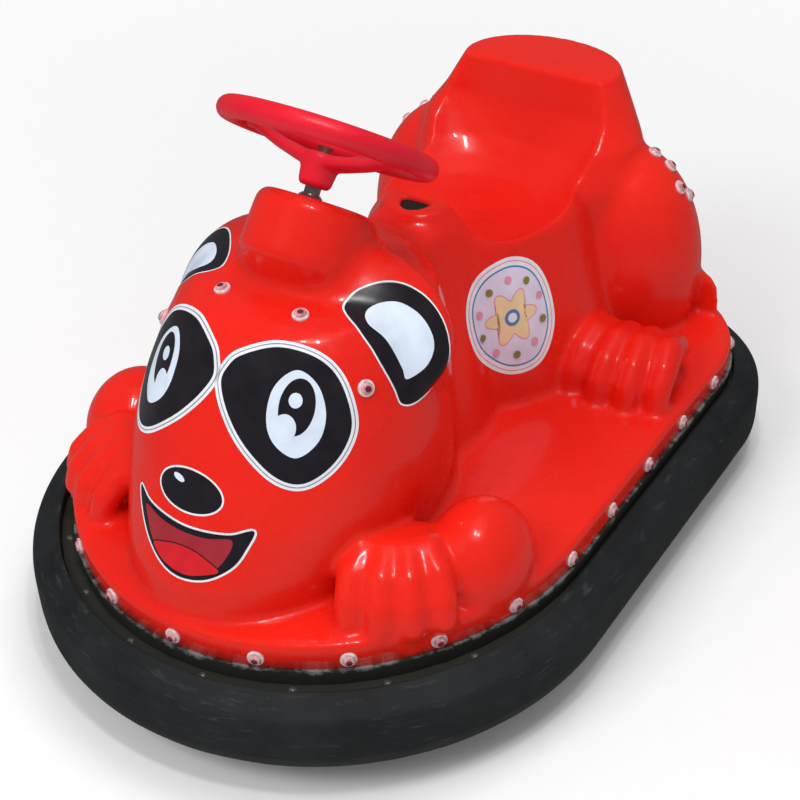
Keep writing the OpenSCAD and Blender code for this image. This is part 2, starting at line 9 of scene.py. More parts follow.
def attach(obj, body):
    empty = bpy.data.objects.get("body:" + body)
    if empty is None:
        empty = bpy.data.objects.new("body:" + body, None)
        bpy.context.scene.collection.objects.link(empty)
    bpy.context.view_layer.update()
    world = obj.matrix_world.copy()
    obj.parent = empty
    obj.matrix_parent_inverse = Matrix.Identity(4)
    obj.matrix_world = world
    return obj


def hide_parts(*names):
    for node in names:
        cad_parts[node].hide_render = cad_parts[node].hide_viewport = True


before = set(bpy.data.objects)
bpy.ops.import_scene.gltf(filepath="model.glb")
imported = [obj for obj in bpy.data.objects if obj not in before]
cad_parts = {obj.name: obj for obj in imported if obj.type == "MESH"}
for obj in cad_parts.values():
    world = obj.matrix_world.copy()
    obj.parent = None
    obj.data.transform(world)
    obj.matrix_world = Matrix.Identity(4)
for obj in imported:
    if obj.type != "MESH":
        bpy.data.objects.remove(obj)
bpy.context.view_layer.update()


# ---- camera -------------------------------------------------------------------------------
# A lens of about 70 mm seen from above the nose, on the driver's left, held a little askew.
# The shift sets the car's place in the picture.
camera_at = (0.9988, -1.4721, 1.4880)
azimuth, elevation, roll = math.radians(33.53), math.radians(35.29), math.radians(1.9)
camera_data = bpy.data.cameras.new("camera")
camera_data.lens = 68.95
camera_data.sensor_width = 36.0
camera_data.shift_x = -0.0187
camera_data.shift_y = -0.0302
camera = bpy.data.objects.new("camera", camera_data)
camera.matrix_world = (Matrix.Translation(camera_at)
                       @ Matrix.Rotation(azimuth, 4, "Z")
                       @ Matrix.Rotation(math.pi / 2 - elevation, 4, "X")
                       @ Matrix.Rotation(-roll, 4, "Z"))
bpy.context.collection.objects.link(camera)
bpy.context.scene.camera = camera
bpy.context.scene.view_settings.view_transform = "Standard"


# ---- studio -------------------------------------------------------------------------------
# A white floor that runs out to a white surround, two broad soft lights without a mirror
# image, and two strips like the lamps of a hall ceiling, which leave small paired spots.
def shader(name):
    """A new material, and a function that adds a node to it or sets its Principled one."""
    mat = bpy.data.materials.new(name)
    mat.use_nodes = True
    tree = mat.node_tree

    def node(kind, inputs=None, **settings):
        made = tree.nodes["Principled BSDF"] if kind == "Principled" else tree.nodes.new("ShaderNode" + kind)
        for key, value in settings.items():
            setattr(made, key, value)
        for key, value in (inputs or {}).items():
            if isinstance(value, bpy.types.NodeSocket):
                tree.links.new(value, made.inputs[key])
            else:
                made.inputs[key].default_value = value
        return made
    return mat, node


def ramp(node, factor, low, high):
    """The colour of a ramp between two stops, each (position, colour)."""
    made = node("ValToRGB", {"Fac": factor})
    for stop, (position, colour) in zip(made.color_ramp.elements, (low, high)):
        stop.position, stop.color = position, (*colour, 1)
    return made.outputs["Color"]


def linked(name, mesh):
    piece = bpy.data.objects.new(name, mesh)
    bpy.context.collection.objects.link(piece)
    return piece


def built(name, bm):
    """A linked object with a mesh of its own, which uses bm up."""
    mesh = bpy.data.meshes.new(name)
    bm.to_mesh(mesh)
    bm.free()
    return linked(name, mesh)


world = bpy.data.worlds.new("studio")
bpy.context.scene.world = world
world.use_nodes = True
sky = world.node_tree
path = sky.nodes.new("ShaderNodeLightPath")
tint = sky.nodes.new("ShaderNodeMix")
tint.data_type = "RGBA"
tint.inputs["A"].default_value = (0.44, 0.44, 0.45, 1)
tint.inputs["B"].default_value = (1, 1, 1, 1)
dim = sky.nodes.new("ShaderNodeMix")
dim.data_type = "RGBA"
dim.inputs["B"].default_value = (0.12, 0.12, 0.125, 1)
sky.links.new(path.outputs["Is Camera Ray"], tint.inputs["Factor"])
sky.links.new(path.outputs["Is Glossy Ray"], dim.inputs["Factor"])
sky.links.new(tint.outputs["Result"], dim.inputs["A"])
sky.links.new(dim.outputs["Result"], sky.nodes["Background"].inputs["Color"])


def area_light(name, at, towards, size, size_y, power, mirrored=True):
    data = bpy.data.lights.new(name, "AREA")
    data.shape = "RECTANGLE"
    data.size, data.size_y, data.energy = size, size_y, power
    lamp = linked(name, data)
    lamp.location = at
    lamp.rotation_euler = (Vector(towards) - Vector(at)).to_track_quat("-Z", "Y").to_euler()
    lamp.visible_glossy = mirrored


area_light("soft_key", (-0.6, -2.4, 2.6), (0, 0, 0.3), 1.6, 1.2, 40, mirrored=False)
area_light("overhead", (0.3, 0.4, 3.2), (0, 0, 0.2), 1.4, 1.4, 28, mirrored=False)
area_light("ceiling_strip_front", (0.45, -0.7, 3.0), (0, 0, 0.3), 0.1, 0.34, 9)
area_light("ceiling_strip_back", (0.9, -0.7, 3.0), (0, 0, 0.3), 0.1, 0.34, 9)

floor_r, glow_from, glow_to = 14, 0.7, 2.6
bm = bmesh.new()
bmesh.ops.create_circle(bm, cap_ends=True, radius=floor_r, segments=96)
floor = built("floor", bm)
mat, node = shader("floor_white")
speckle = node("TexNoise", {"Scale": 900.0, "Detail": 3.0})
shade = ramp(node, speckle.outputs["Fac"], (0.0, (0.92, 0.92, 0.92)), (1.0, (0.95, 0.95, 0.95)))
path = node("LightPath")
seen = node("Mix", {"Factor": path.outputs["Is Glossy Ray"], "A": shade, "B": (0.2, 0.2, 0.2, 1)},
            data_type="RGBA")
reach = node("VectorMath", {0: node("TexCoord").outputs["Object"]}, operation="LENGTH")
far = node("MapRange", {"Value": reach.outputs["Value"], "From Min": glow_from, "From Max": glow_to,
                        "To Min": 0.02, "To Max": 0.36})
glow = node("Math", {0: far.outputs["Result"], 1: path.outputs["Is Camera Ray"]}, operation="MULTIPLY")
node("Principled", {"Base Color": seen.outputs["Result"], "Roughness": 0.9, "Specular IOR Level": 0.1,
                    "Emission Color": (1, 1, 1, 1), "Emission Strength": glow.outputs["Value"]})
floor.data.materials.append(mat)


# ---- fibreglass body ----------------------------------------------------------------------
# One laid-up moulding: skirt, deck, animal head, pillar, seat and haunches in red gelcoat,
# about 5 mm thick, open below. Its forms are drawn in millimetres, blended, and cut as the
# real mould was: flat at the top of the backrest, hollowed for the seat and open underneath.
def plan(inset, steps=40, arc=16):
    """The skirt's outline from above, moved in: round nose, straight flanks and a bowed tail."""
    half, nose_y, nose, corner_y, corner, tail = 359, 140, 387, 312, 168, 526
    bow = ((half - corner) ** 2 + (tail - corner_y) ** 2 - corner ** 2) / (2 * (tail - corner_y - corner))
    turn = math.atan2(corner_y - tail + bow, half - corner)
    line = [(-(half - inset) * math.cos(math.pi * i / steps),
             -nose_y - (nose - inset) * math.sin(math.pi * i / steps)) for i in range(steps + 1)]
    for i in range(arc + 1):
        a = turn * i / arc
        line.append((half - corner + (corner - inset) * math.cos(a), corner_y + (corner - inset) * math.sin(a)))
    for i in range(1, arc):
        a = turn + (math.pi - 2 * turn) * i / arc
        line.append(((bow - inset) * math.cos(a), tail - bow + (bow - inset) * math.sin(a)))
    for i in range(arc + 1):
        a = math.pi - turn * (1 - i / arc)
        line.append((corner - half + (corner - inset) * math.cos(a), corner_y + (corner - inset) * math.sin(a)))
    return line


def oval(bm, a, b, y, z, segments=72):
    """A level oval line on the car's middle plane, of half width a and half length b."""
    place = Matrix.Translation((0, y, z)) @ Matrix.Diagonal((a, b, 1, 1))
    bmesh.ops.create_circle(bm, cap_ends=False, radius=1, segments=segments, matrix=place)


def wrap(bm):
    """Leaves only the hull of the points in bm."""
    done = bmesh.ops.convex_hull(bm, input=bm.verts)
    spare = {e for e in done["geom_interior"] + done["geom_unused"] if isinstance(e, bmesh.types.BMVert)}
    bmesh.ops.delete(bm, geom=list(spare), context="VERTS")
    return bm


def gather(target, parts):
    """Adds closed forms to target, which takes them over."""
    for part in parts:
        mesh = bpy.data.meshes.new("part")
        part.to_mesh(mesh)
        part.free()
        target.from_mesh(mesh)
        bpy.data.meshes.remove(mesh)
    return target


def egg(at, radii, turn=(0, 0, 0), cut=None, segments=64):
    """An ellipsoid; cut = (angle, distance) keeps what lies beyond a plane across it."""
    bm = bmesh.new()
    bmesh.ops.create_uvsphere(bm, u_segments=segments, v_segments=segments // 2, radius=1)
    bmesh.ops.transform(bm, matrix=Matrix.Diagonal((*radii, 1)), verts=bm.verts)
    if cut:
        a = math.radians(cut[0])
        out = Vector((math.sin(a), 0, math.cos(a)))
        done = bmesh.ops.bisect_plane(bm, geom=bm.verts[:] + bm.edges[:] + bm.faces[:],
                                      plane_co=out * cut[1], plane_no=out, clear_inner=True)
        edges = [e for e in done["geom_cut"] if isinstance(e, bmesh.types.BMEdge)]
        bmesh.ops.edgenet_fill(bm, edges=edges)
    x, y, z = (math.radians(a) for a in turn)
    lie = Matrix.Rotation(z, 4, "Z") @ Matrix.Rotation(y, 4, "Y") @ Matrix.Rotation(x, 4, "X")
    bmesh.ops.transform(bm, matrix=Matrix.Translation(at) @ lie, verts=bm.verts)
    return bm


def flip(form):
    bmesh.ops.transform(form, matrix=Matrix.Diagonal((-1, 1, 1, 1)), verts=form.verts)
    bmesh.ops.reverse_faces(form, faces=form.faces)
    return form


def mirrored(make):
    """The form that make() gives, and its mirror image."""
    return [make(), flip(make())]


deck_z, seat_top = 194, 556


def head_form():
    """Sections = (share of the height, share of the width, how far back, how much shorter)."""
    half_w, half_l, nose_y, tall = 199, 264, -514, 323
    sections = [(-0.05, 0.89, 0, 0), (0.13, 0.94, 8, 12), (0.2, 0.97, 22, 24), (0.33, 1, 41, 40),
                (0.48, 0.995, 66, 56), (0.64, 0.945, 95, 70), (0.79, 0.88, 124, 83), (0.9, 0.8, 148, 96),
                (0.96, 0.68, 166, 118), (0.99, 0.5, 189, 146), (1, 0.3, 219, 184)]
    bm = bmesh.new()
    for share, width, back, shorter in sections:
        half = half_l - shorter
        oval(bm, half_w * width, half, half + back + nose_y, deck_z + share * tall)
    return wrap(bm)


def ear_form():
    return egg((66, -237, 480), (148, 38, 105), (-42, 15, 20), cut=(39, 8))


wheel_at, column_lean, cap_drop = (0, -136, 661), math.radians(-36.6), 74


def column(drop):
    """A place on the steering axis, at a distance down from the wheel's middle, in millimetres."""
    return (Matrix.Translation(wheel_at) @ Matrix.Rotation(column_lean, 4, "X")
            @ Matrix.Translation((0, 0, -drop)))


def pillar_form():
    """An oval cap square to the column, on a neck that runs down into the head."""
    bm = bmesh.new()
    for drop, wide, long, back in ((cap_drop, 60, 60, 16), (75.5, 66, 68, 20), (79, 71, 74, 22),
                                   (86, 75, 79, 24), (96, 77, 82, 26), (112, 78, 84, 28), (150, 80, 86, 26)):
        bmesh.ops.create_circle(bm, cap_ends=False, radius=1, segments=64,
                                matrix=column(drop) @ Matrix.Translation((0, back, 0))
                                @ Matrix.Diagonal((wide, long, 1, 1)))
    oval(bm, 86, 88, -160, 440)
    return wrap(bm)


def trunk_form():
    """What the seat is hollowed from: ovals (half width, half length, y, z) from the deck up."""
    bm = bmesh.new()
    for a, b, y, z in ((212, 250, 230, 178), (150, 116, 236, 412), (112, 92, 120, 420),
                       (128, 100, 236, 444), (100, 80, 122, 442), (62, 60, 66, 470), (48, 50, 64, 488)):
        oval(bm, a, b, y, z)
    return wrap(bm)


def neck_form():
    """The saddle between the trunk and the head."""
    bm = bmesh.new()
    oval(bm, 150, 150, -30, 178)
    oval(bm, 60, 66, 60, 466)
    bmesh.ops.create_uvsphere(bm, u_segments=32, v_segments=16, radius=50,
                              matrix=Matrix.Translation((0, -110, 428)))
    return wrap(bm)


def backrest_forms():
    """Rows = (drop from the flat top, half width, half depth, y), hulled two by two."""
    rows = [(-24, 111, 84, 404), (0, 122, 88, 404), (54, 152, 96, 394), (86, 174, 108, 378),
            (140, 184, 124, 362), (378, 186, 128, 356)]
    forms = []
    for upper, lower in zip(rows, rows[1:]):
        bm = bmesh.new()
        for drop, wide, deep, y in (upper, lower):
            oval(bm, wide, deep, y, seat_top - drop)
        forms.append(wrap(bm))
    return forms


haunch_at, haunch_r = (152, 387, 270), (124, 112, 190)


def haunch_form():
    return egg(haunch_at, haunch_r)


def skirt_form():
    """The skirt and the deck, with a rounded edge between them."""
    low, edge = 140, 5
    bm = bmesh.new()
    for inset, z in [(0, low)] + [(edge * (1 - math.cos(a)), deck_z - edge + edge * math.sin(a))
                                  for a in (math.radians(turn) for turn in (0, 30, 60, 90))]:
        for x, y in plan(inset):
            bm.verts.new((x, y, z))
    return wrap(bm)


def tail_step_form():
    """The raised step along the tail, set in from the skirt's edge."""
    front, set_in = 417, 12
    bm = bmesh.new()
    for inset, z in ((0, 178), (1, 238), (6, 253), (22, 264)):
        line = [(x, y) for x, y in plan(set_in + inset) if y > front]
        half = max(x for x, y in line)
        for x, y in line + [(half, front), (-half, front)]:
            bm.verts.new((x, y, z))
    return wrap(bm)


def paw_forms(at, turn, pitch, spread):
    """Four toes that curl from the wrist over the knuckles to the deck, round a full palm."""
    lie = Matrix.Translation((*at, deck_z)) @ Matrix.Rotation(math.radians(turn), 4, "Z")
    forms = []
    for k, back in ((-1.5, 12), (-0.5, 0), (0.5, 0), (1.5, 12)):
        path = ((k * pitch, back - 17, 4, 18), (0.97 * k * pitch, back - 9, 26, 19),
                (spread[0] * k * pitch, back + 16, 47, 21), (spread[1] * k * pitch, back * 0.5 + 50, 58, 23),
                (spread[2] * k * pitch, 96, 40, 25))
        for one, two in zip(path, path[1:]):
            bm = bmesh.new()
            for x, y, z, r in (one, two):
                bmesh.ops.create_uvsphere(bm, u_segments=28, v_segments=14, radius=r,
                                          matrix=lie @ Matrix.Translation((x, y, z)))
            forms.append(wrap(bm))
    palm, reach = bmesh.new(), 62
    bmesh.ops.create_uvsphere(palm, u_segments=40, v_segments=20, radius=1,
                              matrix=lie @ Matrix.Translation((0, reach, 10))
                              @ Matrix.Diagonal((1.45 * pitch, reach, reach, 1)))
    forms.append(palm)
    return forms


def settled(mesh_or_bm, *steps):
    """A new mesh from one, after modifiers given as (type, settings)."""
    mesh = mesh_or_bm
    if isinstance(mesh_or_bm, bmesh.types.BMesh):
        mesh = bpy.data.meshes.new("form")
        mesh_or_bm.to_mesh(mesh)
        mesh_or_bm.free()
    obj = linked("form", mesh)
    for i, (kind, settings) in enumerate(steps):
        modifier = obj.modifiers.new(f"step{i}", kind)
        for key, value in settings.items():
            setattr(modifier, key, value)
    graph = bpy.context.evaluated_depsgraph_get()
    result = bpy.data.meshes.new_from_object(obj.evaluated_get(graph))
    bpy.data.objects.remove(obj)
    bpy.data.meshes.remove(mesh)
    return result


def main_forms():
    return ([head_form(), trunk_form(), neck_form(), pillar_form()] + backrest_forms()
            + mirrored(ear_form) + mirrored(haunch_form))


# Paws = (place on the deck, turn, pitch of the toes, how the toes draw together on the way back).
paws = []
for paw in (((240, -385), 32, 38, (0.88, 0.66, 0.5)), ((262, 152), 5, 43, (0.95, 0.86, 0.78))):
    paws += paw_forms(*paw)
    paws += [flip(form) for form in paw_forms(*paw)]
knees = mirrored(lambda: egg((276, -250, 202), (68, 80, 84)))
coarse, middling, fine = 6.0, 4.6, 4.2
blended = settled(gather(bmesh.new(), main_forms()),
                  ("REMESH", {"mode": "VOXEL", "voxel_size": coarse}),
                  ("SMOOTH", {"factor": 0.5, "iterations": 24}))
whole = gather(bmesh.new(), main_forms() + [skirt_form(), tail_step_form()] + paws + knees)
whole.from_mesh(blended)
bpy.data.meshes.remove(blended)
united = settled(whole, ("REMESH", {"mode": "VOXEL", "voxel_size": middling}))

# The seat's hollow from its floor up. Columns: height, half width, front, back, squareness.
scoop, steps = bmesh.new(), 72
for z, half, front, back, square in (
        (400, 70, 130, 262, 2), (407, 104, 96, 296, 2), (424, 136, 66, 326, 2), (446, 151, 56, 345, 2.3),
        (480, 153, 68, 358, 3.4), (500, 152, 78, 364, 4.6), (seat_top, 150, 90, 371, 8), (600, 150, 92, 375, 8)):
    for i in range(steps):
        c, t = math.cos(math.tau * i / steps), math.sin(math.tau * i / steps)
        x = half * math.copysign(abs(c) ** (2 / square), c)
        y = (front + back) / 2 + (back - front) / 2 * math.copysign(abs(t) ** (2 / square), t)
        scoop.verts.new((x, y, z))
bowl_tool = built("bowl_tool", wrap(scoop))
top, top_h = bmesh.new(), 100
bmesh.ops.create_cube(top, size=1, matrix=Matrix.Translation((0, 400, seat_top + top_h / 2))
                      @ Matrix.Diagonal((600, 400, top_h, 1)))
top_tool = built("top_tool", top)
hole, hole_r = bmesh.new(), 13
bmesh.ops.create_cone(hole, cap_ends=True, segments=48, radius1=hole_r, radius2=hole_r, depth=80,
                      matrix=column(cap_drop))


def half_moon(*rows, flat_y=57, steps=32):
    """A closed half-oval block with its flat side to the rear; rows = (half width, length, height)."""
    bm = bmesh.new()
    for wide, long, z in rows:
        for i in range(steps + 1):
            a = math.pi * i / steps
            bm.verts.new((wide * math.cos(a), flat_y - long * math.sin(a), z))
    return wrap(bm)


hole = gather(hole, [half_moon((22, 29, 474), (22, 29, 520))])
tools = (bowl_tool, top_tool, built("hole_tool", hole))
cuts = [("BOOLEAN", {"operation": "DIFFERENCE", "solver": "EXACT", "object": obj}) for obj in tools]
united = settled(united, *cuts,
                 ("REMESH", {"mode": "VOXEL", "voxel_size": fine}),
                 ("SMOOTH", {"factor": 0.5, "iterations": 5}))
for obj in tools:
    bpy.data.objects.remove(obj)
triangles_kept, skirt_foot, wall = 92000, 158.2, 0.005
united = settled(united, ("DECIMATE", {"ratio": triangles_kept / (len(united.polygons) * 2)}))

to_metres = Matrix.Scale(0.001, 4)
bm = bmesh.new()
bm.from_mesh(united)
bmesh.ops.bisect_plane(bm, geom=bm.verts[:] + bm.edges[:] + bm.faces[:], plane_co=(0, 0, skirt_foot),
                       plane_no=(0, 0, -1), clear_outer=True)
bmesh.ops.transform(bm, matrix=to_metres, verts=bm.verts)
bmesh.ops.recalc_face_normals(bm, faces=bm.faces)
skin = bpy.data.meshes.new("body_skin")
bm.to_mesh(skin)
shell = BVHTree.FromBMesh(bm)
bm.free()
skin = settled(skin, ("SOLIDIFY", {"thickness": wall, "offset": -1.0, "material_offset": 1,
                                   "material_offset_rim": 1}))
for face in skin.polygons:
    face.use_smooth = True
skin.name = "body_shell"
body = linked("body_shell", skin)

mat, node = shader("red_gelcoat")
place = node("TexCoord").outputs["Object"]
broad = node("TexNoise", {"Vector": place, "Scale": 3.0, "Detail": 3.0})
tone = ramp(node, broad.outputs["Fac"], (0.35, (0.74, 0.012, 0.006)), (0.7, (0.86, 0.019, 0.008)))
dust = node("TexNoise", {"Vector": place, "Scale": 60.0, "Detail": 6.0, "Roughness": 0.7})
dust_at = ramp(node, dust.outputs["Fac"], (0.62, (0, 0, 0)), (0.8, (0.1, 0.1, 0.1)))
colour = node("Mix", {"Factor": dust_at, "A": tone, "B": (0.5, 0.2, 0.15, 1)}, data_type="RGBA")
peel = node("TexNoise", {"Vector": place, "Scale": 28.0, "Detail": 2.0})
peel_bump = node("Bump", {"Height": peel.outputs["Fac"], "Strength": 0.08, "Distance": 0.004})
rough = node("MapRange", {"Value": dust.outputs["Fac"], "From Min": 0.3, "From Max": 0.8, "To Min": 0.2,
                          "To Max": 0.36})
node("Principled", {"Base Color": colour.outputs["Result"], "Roughness": rough.outputs["Result"],
                    "Normal": peel_bump.outputs["Normal"], "Coat Weight": 0.4, "Coat Roughness": 0.06,
                    "Specular IOR Level": 0.25})
skin.materials.append(mat)
mat, node = shader("raw_fibreglass")
place = node("TexCoord").outputs["Object"]
strands = node("TexNoise", {"Vector": place, "Scale": 160.0, "Detail": 5.0, "Distortion": 2.5})
tone = ramp(node, strands.outputs["Fac"], (0.4, (0.21, 0.15, 0.09)), (0.65, (0.36, 0.29, 0.19)))
lift = node("Bump", {"Height": strands.outputs["Fac"], "Strength": 0.6, "Distance": 0.002})
node("Principled", {"Base Color": tone, "Roughness": 0.6, "Normal": lift.outputs["Normal"]})
skin.materials.append(mat)
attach(body, "root")
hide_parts("body_moulding")


# ---- stickers on the head -----------------------------------------------------------------
# Cut vinyl, laid on the gelcoat in thin layers and wiped down: two eye patches, two ear
# patches, a nose and a mouth, each with a white edge. A layer follows the body's surface.
def vinyl(name, colour, rough=0.22):
    mat, node = shader(name)
    place = node("TexCoord").outputs["Object"]
    grain = node("TexNoise", {"Vector": place, "Scale": 35.0, "Detail": 4.0})
    tone = ramp(node, grain.outputs["Fac"], (0.3, [0.9 * c for c in colour]),
                (0.75, [min(1.06 * c + 0.004, 1) for c in colour]))
    wave = node("Bump", {"Height": grain.outputs["Fac"], "Strength": 0.05, "Distance": 0.003})
    node("Principled", {"Base Color": tone, "Roughness": rough, "Normal": wave.outputs["Normal"],
                        "Specular IOR Level": 0.4})
    return mat


def curve_through(points, steps=10):
    """A closed smooth line through a few points."""
    line = []
    n = len(points)
    for i in range(n):
        a, b, c, d = (Vector(points[(i + k) % n]) for k in (-1, 0, 1, 2))
        for j in range(steps):
            t = j / steps
            line.append(0.5 * (2 * b + (c - a) * t + (2 * a - 5 * b + 4 * c - d) * t * t
                               + (3 * b - a - 3 * c + d) * t ** 3))
    return line


def oval_line(x, y, a, b, turn=0.0, steps=72):
    """A closed oval line round x, y, turned by degrees."""
    c, s = math.cos(math.radians(turn)), math.sin(math.radians(turn))
    line = []
    for i in range(steps):
        u, v = a * math.cos(math.tau * i / steps), b * math.sin(math.tau * i / steps)
        line.append(Vector((x + u * c - v * s, y + u * s + v * c)))
    return line


def grown(line, width):
    """The closed line moved out by a width (in, if it is negative)."""
    n = len(line)
    area = sum(line[i].x * line[(i + 1) % n].y - line[(i + 1) % n].x * line[i].y for i in range(n))
    moved = []
    for i in range(n):
        along = (line[(i + 1) % n] - line[i - 1]).normalized()
        moved.append(line[i] + Vector((along.y, -along.x)) * (width if area > 0 else -width))
    return moved


def sticker(name, at, facing, layers, side=1, lift=0.35, thick=0.14, stand_off=120, rows=24):
    """Layers = (closed line in millimetres in the sticker's plane, material), from the gelcoat up."""
    out = Vector((facing[0] * side, facing[1], facing[2])).normalized()
    right = Vector((0, 0, 1)).cross(out).normalized() * side
    up = out.cross(right) * side
    middle = Vector((at[0] * side, at[1], at[2]))
    bm = bmesh.new()
    mesh = bpy.data.meshes.new(name)
    for k, (line, material) in enumerate(layers):
        if material.name not in mesh.materials:
            mesh.materials.append(material)
        slot = list(mesh.materials).index(material)
        half = len(line) // 2
        grid = []
        for i in range(half + 1):
            a, b = line[i], line[-i % len(line)]
            ends = i in (0, half)
            row = []
            for j in range(1 if ends else rows + 1):
                p = a.lerp(b, j / rows)
                start = (middle + right * p.x + up * p.y + out * stand_off) * 0.001
                hit, normal, _, _ = shell.ray_cast(start, -out)
                if hit is None:
                    hit, normal, _, _ = shell.find_nearest(start - out * stand_off * 0.001)
                row.append(bm.verts.new(hit + normal * (lift + thick * k) * 0.001))
            grid.append(row if not ends else row * (rows + 1))
        for one, two in zip(grid, grid[1:]):
            for j in range(rows):
                corners = [one[j], one[j + 1], two[j + 1], two[j]]
                unique = [v for n, v in enumerate(corners) if v not in corners[:n]]
                if len(unique) > 2:
                    face = bm.faces.new(unique)
                    face.material_index = slot
                    face.smooth = True
                    face.normal_update()
                    if face.normal.dot(out) < 0:
                        face.normal_flip()
    bm.to_mesh(mesh)
    bm.free()
    piece = linked(name, mesh)
    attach(piece, "root")


black = vinyl("vinyl_black", (0.012, 0.010, 0.014))
white = vinyl("vinyl_white", (0.80, 0.83, 0.88))
edge_grey = vinyl("vinyl_edge_grey", (0.22, 0.22, 0.26))
mouth_dark = vinyl("vinyl_mouth", (0.36, 0.022, 0.035))
tongue_red = vinyl("vinyl_tongue", (0.66, 0.012, 0.02))
pale = vinyl("vinyl_pale", (0.70, 0.80, 0.92))

eye = curve_through([(-83, 31), (-72, 54), (-51, 69), (-5, 77), (42, 62), (70, 32), (83, -18), (73, -54),
                     (47, -84), (13, -99), (-22, -87), (-56, -49), (-76, -8)])
iris = curve_through([(-23, -12), (-12, 24), (15, 42), (38, 24), (46, -10), (36, -42), (9, -60), (-16, -42)])
pupil = oval_line(13, -1, 21, 34, -14)
for side, name in ((1, "left"), (-1, "right")):
    sticker("eye_patch_" + name, (85, -365, 440), (0.47, -0.70, 0.54), [
        (eye, white), (grown(eye, -3.4), edge_grey), (grown(eye, -4.6), white), (grown(eye, -8), black),
        (iris, pale), (pupil, black), (oval_line(-3, -25, 14, 17, -10), pale),
        (oval_line(12, 7, 8, 9, -10), pale)], side)

patch = curve_through([(-36, 60), (-24, 71), (-5, 78), (23, 77), (46, 66), (64, 43), (72, 13), (70, -19),
                       (60, -47), (38, -65), (8, -73), (-13, -66), (-18, -45), (-25, -18), (-31, 8), (-36, 35)])
inner = curve_through([(-11, 51), (10, 54), (31, 46), (47, 22), (49, -10), (32, -33), (4, -40), (1, -26),
                       (-3, -6), (-10, 18), (-20, 38)])
for side, name in ((1, "left"), (-1, "right")):
    sticker("ear_patch_" + name, (150, -240, 470), (0.80, -0.35, 0.49), [
        (patch, white), (grown(patch, -2.2), black), (inner, pale)], side)

face_at, face_out = (0, -455, 320), (0, -0.89, 0.45)
nose = oval_line(-2, 19, 46, 25)
shine = oval_line(-20, 30, 9, 4, -14)
mouth = curve_through([(-85, -4), (-62, -15), (-32, -21), (0, -24), (32, -22), (62, -16), (86, -4), (82, -27),
                       (70, -55), (44, -78), (12, -86), (-18, -80), (-48, -60), (-72, -32)])
throat = curve_through([(-66, -21), (-34, -28), (0, -31), (34, -29), (64, -22), (62, -44), (48, -66), (16, -80),
                        (-14, -76), (-42, -58), (-58, -38)])
tongue = curve_through([(-40, -60), (-26, -54), (-4, -49), (20, -49), (42, -56), (56, -64), (44, -72),
                        (16, -81), (-14, -77), (-30, -69)])
sticker("nose_patch", face_at, face_out, [(grown(nose, 2.4), white), (nose, black), (shine, pale)])
sticker("mouth_patch", face_at, face_out, [
    (grown(mouth, 2.6), white), (mouth, black), (throat, mouth_dark), (grown(tongue, 1.5), black),
    (tongue, tongue_red)])


# ---- round sticker on the flank -------------------------------------------------------------
# A printed vinyl disc on each flank under the seat: white with a pink edge, a blue ring,
# a cream rosette and a ring of small dots.
pink = vinyl("vinyl_pink", (0.80, 0.30, 0.42))
blue = vinyl("vinyl_blue", (0.10, 0.22, 0.50))
cream = vinyl("vinyl_cream", (0.85, 0.66, 0.38))
olive = vinyl("vinyl_olive", (0.24, 0.22, 0.05))
lavender = vinyl("vinyl_lavender", (0.74, 0.70, 0.86))
disc = curve_through([(3, 86), (-44, 72), (-74, 26), (-66, -35), (-20, -80), (36, -80), (70, -36), (70, 22),
                      (48, 66)])
petals, dots = 6, 10
rosette = [Vector((math.cos(a), math.sin(a))) * (32 + 9 * math.cos(petals * a))
           for a in (math.tau * i / 96 for i in range(96))]
layers = [(disc, white), (grown(disc, -5), pink), (grown(disc, -6.6), white), (grown(disc, -12), blue),
          (grown(disc, -14.5), lavender), (grown(rosette, 1.6), pink), (rosette, cream),
          (oval_line(0, 0, 12, 12), blue), (oval_line(0, 0, 7, 7), white)]
for i in range(dots):
    a = math.tau * (i + 0.5) / dots
    layers.append((oval_line(52 * math.cos(a), 55 * math.sin(a), 5.5, 5.5, steps=24),
                   olive if i % 2 else pink))
for side, name in ((1, "left"), (-1, "right")):
    sticker("flank_disc_" + name, (139, 81, 325), (0.85, -0.50, 0.16), layers, side)


# ---- rubber bumper --------------------------------------------------------------------------
# One moulded ring of black rubber, solid, with a sloping top and a rounded foot. It is dull
# and scuffed pale where other cars rub it, most along the outer edge.
def bumper_line(inset):
    """The ring's outline from above, moved in by an inset."""
    half, nose_y, corner_y, corner, tail = 410, 180, 302, 230, 590
    bow = ((half - corner) ** 2 + (tail - corner_y) ** 2 - corner ** 2) / (2 * (tail - corner_y - corner))
    turn = math.atan2(corner_y - tail + bow, half - corner)
    line = [((inset - half) * math.cos(a), -nose_y - (half - inset) * math.sin(a))
            for a in (math.pi * i / 96 for i in range(97))]
    line += [(half - inset, -nose_y + (nose_y + corner_y) * i / 24) for i in range(1, 24)]
    arcs = [(half - corner, corner_y, corner, 0, turn, 24), (0, tail - bow, bow, turn, math.pi - turn, 32),
            (corner - half, corner_y, corner, math.pi - turn, math.pi, 24)]
    for x, y, r, start, end, steps in arcs:
        line += [(x + (r - inset) * math.cos(start + (end - start) * i / steps),
                  y + (r - inset) * math.sin(start + (end - start) * i / steps)) for i in range(steps)]
    line += [(inset - half, corner_y - (nose_y + corner_y) * i / 24) for i in range(24)]
    return line


def chaikin(points, rounds):
    """A closed line with its corners cut, round after round."""
    for _ in range(rounds):
        points = [q for a, b in zip(points, points[1:] + points[:1])
                  for q in (a.lerp(b, 0.25), a.lerp(b, 0.75))]
    return points


